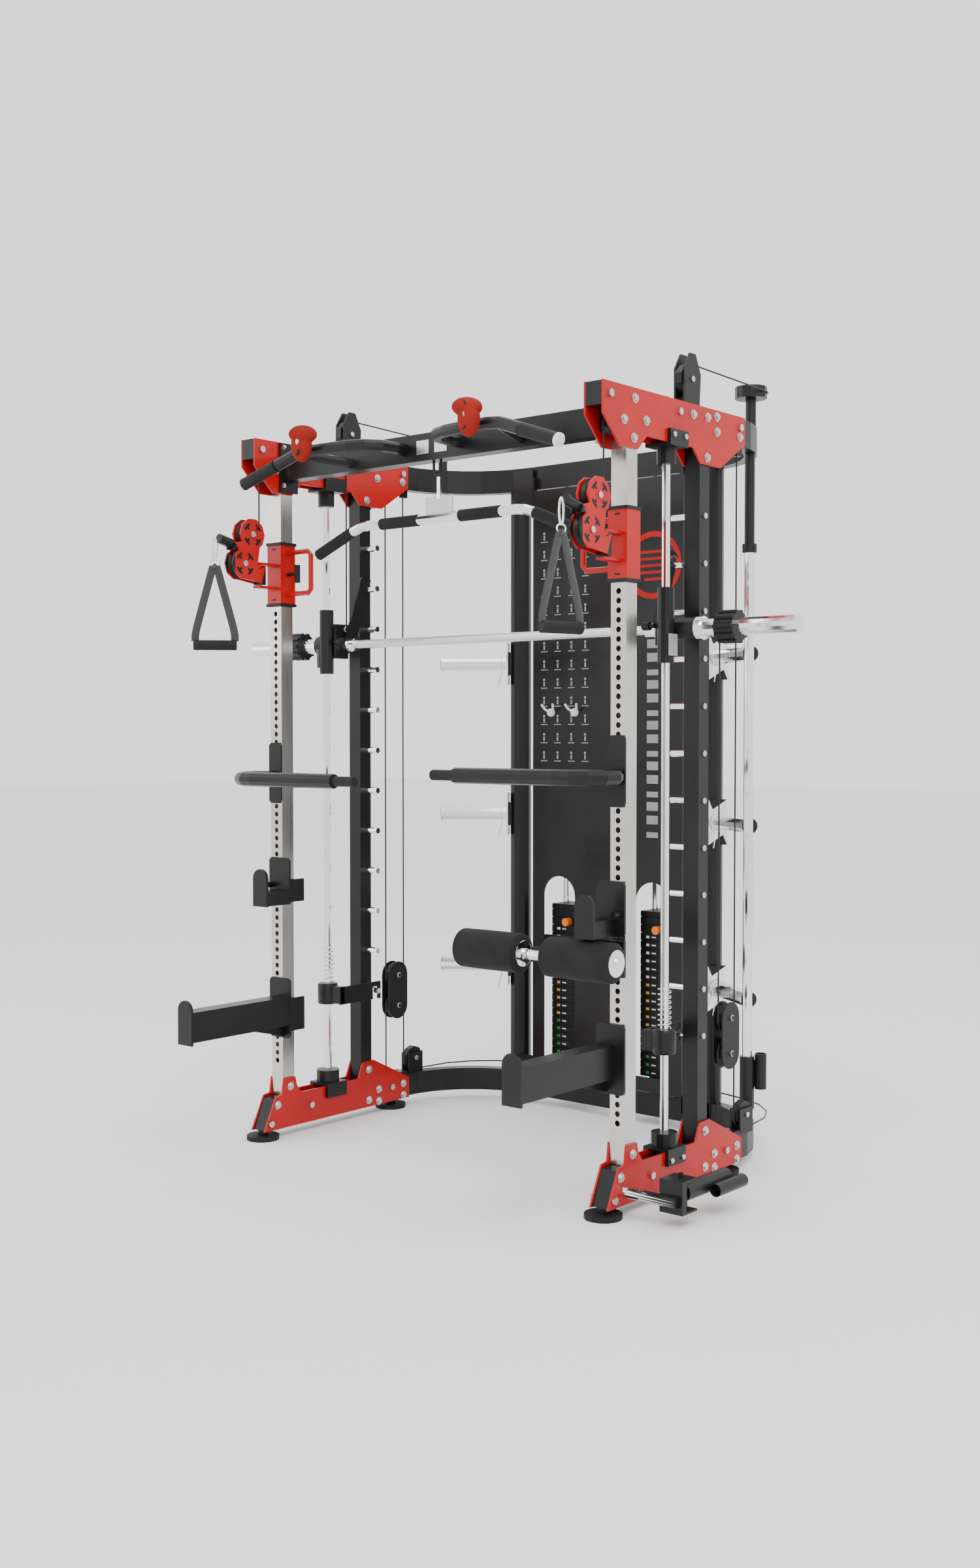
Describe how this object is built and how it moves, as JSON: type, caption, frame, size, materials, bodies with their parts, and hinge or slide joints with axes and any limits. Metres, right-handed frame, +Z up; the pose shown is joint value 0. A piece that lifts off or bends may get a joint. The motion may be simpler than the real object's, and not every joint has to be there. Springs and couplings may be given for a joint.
{
  "type": "smith machine",
  "caption": "Smith machine with a counterbalanced bar on vertical rods, weight stacks, sliding pulley arms, pull-up handles and a front crossbeam",
  "frame": {"origin": "on the floor under the middle of the machine's bounding box", "axes": "+Z up, -Y is the front with the crossbeam, +X is the side with the foam rollers and the landmine"},
  "size_m": [2.106, 1.444, 2.344],
  "materials": {
    "black_coat": "satin black powder coat",
    "red_coat": "smooth red powder coat",
    "stainless": "brushed stainless tube",
    "chrome": "hard chrome",
    "foam": "closed-cell foam",
    "knob": "moulded plastic knob",
    "nylon": "machined nylon",
    "webbing": "woven nylon strap and rubber grip",
    "cable": "nylon coated steel cable",
    "resin": "cast resin with a sandy surface",
    "iron": "painted cast iron",
    "pin_orange": "moulded orange knob"
  },
  "bodies": {
    "frame": {"base_frame": "black_coat", "upper_frame": "black_coat", "crossbeam": "black_coat", "stack_shroud": "black_coat", "roller_bracket": "black_coat", "bar_post": "chrome", "base_plates_left": "red_coat", "base_plates_right": "red_coat", "top_plates_left": "red_coat", "top_plates_right": "red_coat", "front_upright_left": "stainless", "front_upright_right": "stainless", "rear_upright_left": "black_coat", "rear_upright_right": "black_coat", "guide_rod_left": "chrome", "guide_rod_right": "chrome", "safety_stop_left": "black_coat", "safety_stop_right": "black_coat", "dip_bar_left": "black_coat", "dip_bar_right": "black_coat", "j_hook_left": "black_coat", "j_hook_right": "black_coat", "safety_arm_left": "black_coat", "safety_arm_right": "black_coat", "trolley_cable_left": "cable", "trolley_cable_right": "cable", "climbing_hold_left": "resin", "climbing_hold_right": "resin", "storage_post_left": "black_coat", "storage_post_right": "black_coat", "stack_cable_left": "cable", "stack_cable_right": "cable", "weight_stack_left": "iron", "weight_stack_right": "iron"},
    "smith_carriage": {"smith_carriage_left": "black_coat", "smith_carriage_right": "black_coat"},
    "bar": {"smith_bar": "chrome"},
    "lat": {"lat_bar": "chrome"},
    "roller_in": {"foam_roller_inner": "foam"},
    "roller_out": {"foam_roller_outer": "foam"},
    "mine_yoke": {"landmine_yoke": "black_coat"},
    "mine_tube": {"landmine_tube": "black_coat"},
    "trolley_left": {"trolley_left": "red_coat"},
    "pin_left": {"pull_pin_left": "knob"},
    "arm_left": {"pulley_arm_left": "red_coat"},
    "wheel_up_left": {"upper_wheel_left": "nylon"},
    "wheel_low_left": {"lower_wheel_left": "nylon"},
    "handle_left": {"strap_handle_left": "webbing"},
    "block_left": {"floating_block_left": "nylon"},
    "stack_head_left": {"stack_head_left": "iron"},
    "selector_left": {"selector_pin_left": "pin_orange"},
    "trolley_right": {"trolley_right": "red_coat"},
    "pin_right": {"pull_pin_right": "knob"},
    "arm_right": {"pulley_arm_right": "red_coat"},
    "wheel_up_right": {"upper_wheel_right": "nylon"},
    "wheel_low_right": {"lower_wheel_right": "nylon"},
    "handle_right": {"strap_handle_right": "webbing"},
    "block_right": {"floating_block_right": "nylon"},
    "stack_head_right": {"stack_head_right": "iron"},
    "selector_right": {"selector_pin_right": "pin_orange"}
  },
  "joints": [
    {"name": "smith_slide", "type": "slide", "parent": "frame", "child": "smith_carriage", "axis": [0, 0, 1], "range_m": [-0.8028, 0.2676]},
    {"name": "smith_twist", "type": "hinge", "parent": "smith_carriage", "child": "bar", "pos_m": [0, -0.042, 1.5755], "axis": [1, 0, 0], "range_deg": [-11, 20]},
    {"name": "lat_swing", "type": "hinge", "parent": "frame", "child": "lat", "pos_m": [0, -0.282, 2.034], "axis": [1, 0, 0], "range_deg": [-25, 25]},
    {"name": "roller_in_spin", "type": "hinge", "parent": "frame", "child": "roller_in", "pos_m": [0.295, -0.394, 0.684], "axis": [1, 0, 0], "continuous": true},
    {"name": "roller_out_spin", "type": "hinge", "parent": "frame", "child": "roller_out", "pos_m": [0.603, -0.394, 0.684], "axis": [1, 0, 0], "continuous": true},
    {"name": "landmine_lift", "type": "hinge", "parent": "frame", "child": "mine_yoke", "pos_m": [0.76, -0.339, 0.07], "axis": [1, 0, 0], "range_deg": [0, 85]},
    {"name": "landmine_swivel", "type": "hinge", "parent": "mine_yoke", "child": "mine_tube", "pos_m": [0.85, -0.288, 0.08], "axis": [0, 0, 1], "range_deg": [-60, 30]},
    {"name": "trolley_slide_left", "type": "slide", "parent": "frame", "child": "trolley_left", "axis": [0, 0, 1], "range_m": [-0.3302, 0], "deforming": ["trolley_cable_left"]},
    {"name": "pull_pin_left", "type": "slide", "parent": "trolley_left", "child": "pin_left", "axis": [1, 0, 0], "range_m": [0, 0.012], "stiffness_N_per_m": 700},
    {"name": "arm_swing_left", "type": "hinge", "parent": "trolley_left", "child": "arm_left", "pos_m": [-0.665, -0.382, 1.78], "axis": [0, 0, 1], "range_deg": [-60, 60]},
    {"name": "upper_wheel_spin_left", "type": "hinge", "parent": "arm_left", "child": "wheel_up_left", "pos_m": [-0.665, -0.428, 1.903], "axis": [1, 0, 0], "continuous": true},
    {"name": "lower_wheel_spin_left", "type": "hinge", "parent": "arm_left", "child": "wheel_low_left", "pos_m": [-0.665, -0.46, 1.811], "axis": [1, 0, 0], "continuous": true},
    {"name": "handle_swing_left", "type": "hinge", "parent": "arm_left", "child": "handle_left", "pos_m": [-0.665, -0.565, 1.88], "axis": [1, 0, 0], "range_deg": [-60, 8]},
    {"name": "stack_lift_left", "type": "slide", "parent": "frame", "child": "stack_head_left", "axis": [0, 0, 1], "range_m": [0, 1], "deforming": ["stack_cable_left"]},
    {"name": "block_lift_left", "type": "slide", "parent": "frame", "child": "block_left", "axis": [0, 0, 1], "range_m": [0, 0.5]},
    {"name": "selector_pull_left", "type": "slide", "parent": "stack_head_left", "child": "selector_left", "axis": [0, 1, 0], "range_m": [-0.06, 0]},
    {"name": "trolley_slide_right", "type": "slide", "parent": "frame", "child": "trolley_right", "axis": [0, 0, 1], "range_m": [-0.3302, 0], "deforming": ["trolley_cable_right"]},
    {"name": "pull_pin_right", "type": "slide", "parent": "trolley_right", "child": "pin_right", "axis": [-1, 0, 0], "range_m": [0, 0.012], "stiffness_N_per_m": 700},
    {"name": "arm_swing_right", "type": "hinge", "parent": "trolley_right", "child": "arm_right", "pos_m": [0.665, -0.382, 1.78], "axis": [0, 0, 1], "range_deg": [-60, 60]},
    {"name": "upper_wheel_spin_right", "type": "hinge", "parent": "arm_right", "child": "wheel_up_right", "pos_m": [0.665, -0.428, 1.903], "axis": [1, 0, 0], "continuous": true},
    {"name": "lower_wheel_spin_right", "type": "hinge", "parent": "arm_right", "child": "wheel_low_right", "pos_m": [0.665, -0.46, 1.811], "axis": [1, 0, 0], "continuous": true},
    {"name": "handle_swing_right", "type": "hinge", "parent": "arm_right", "child": "handle_right", "pos_m": [0.665, -0.565, 1.88], "axis": [1, 0, 0], "range_deg": [-60, 8]},
    {"name": "stack_lift_right", "type": "slide", "parent": "frame", "child": "stack_head_right", "axis": [0, 0, 1], "range_m": [0, 1], "deforming": ["stack_cable_right"]},
    {"name": "block_lift_right", "type": "slide", "parent": "frame", "child": "block_right", "axis": [0, 0, 1], "range_m": [0, 0.5]},
    {"name": "selector_pull_right", "type": "slide", "parent": "stack_head_right", "child": "selector_right", "axis": [0, 1, 0], "range_m": [-0.06, 0]}
  ],
  "couplings": [
    {"joint": "block_lift_left", "follows": "stack_lift_left", "ratio": 0.5},
    {"joint": "block_lift_right", "follows": "stack_lift_right", "ratio": 0.5}
  ]
}
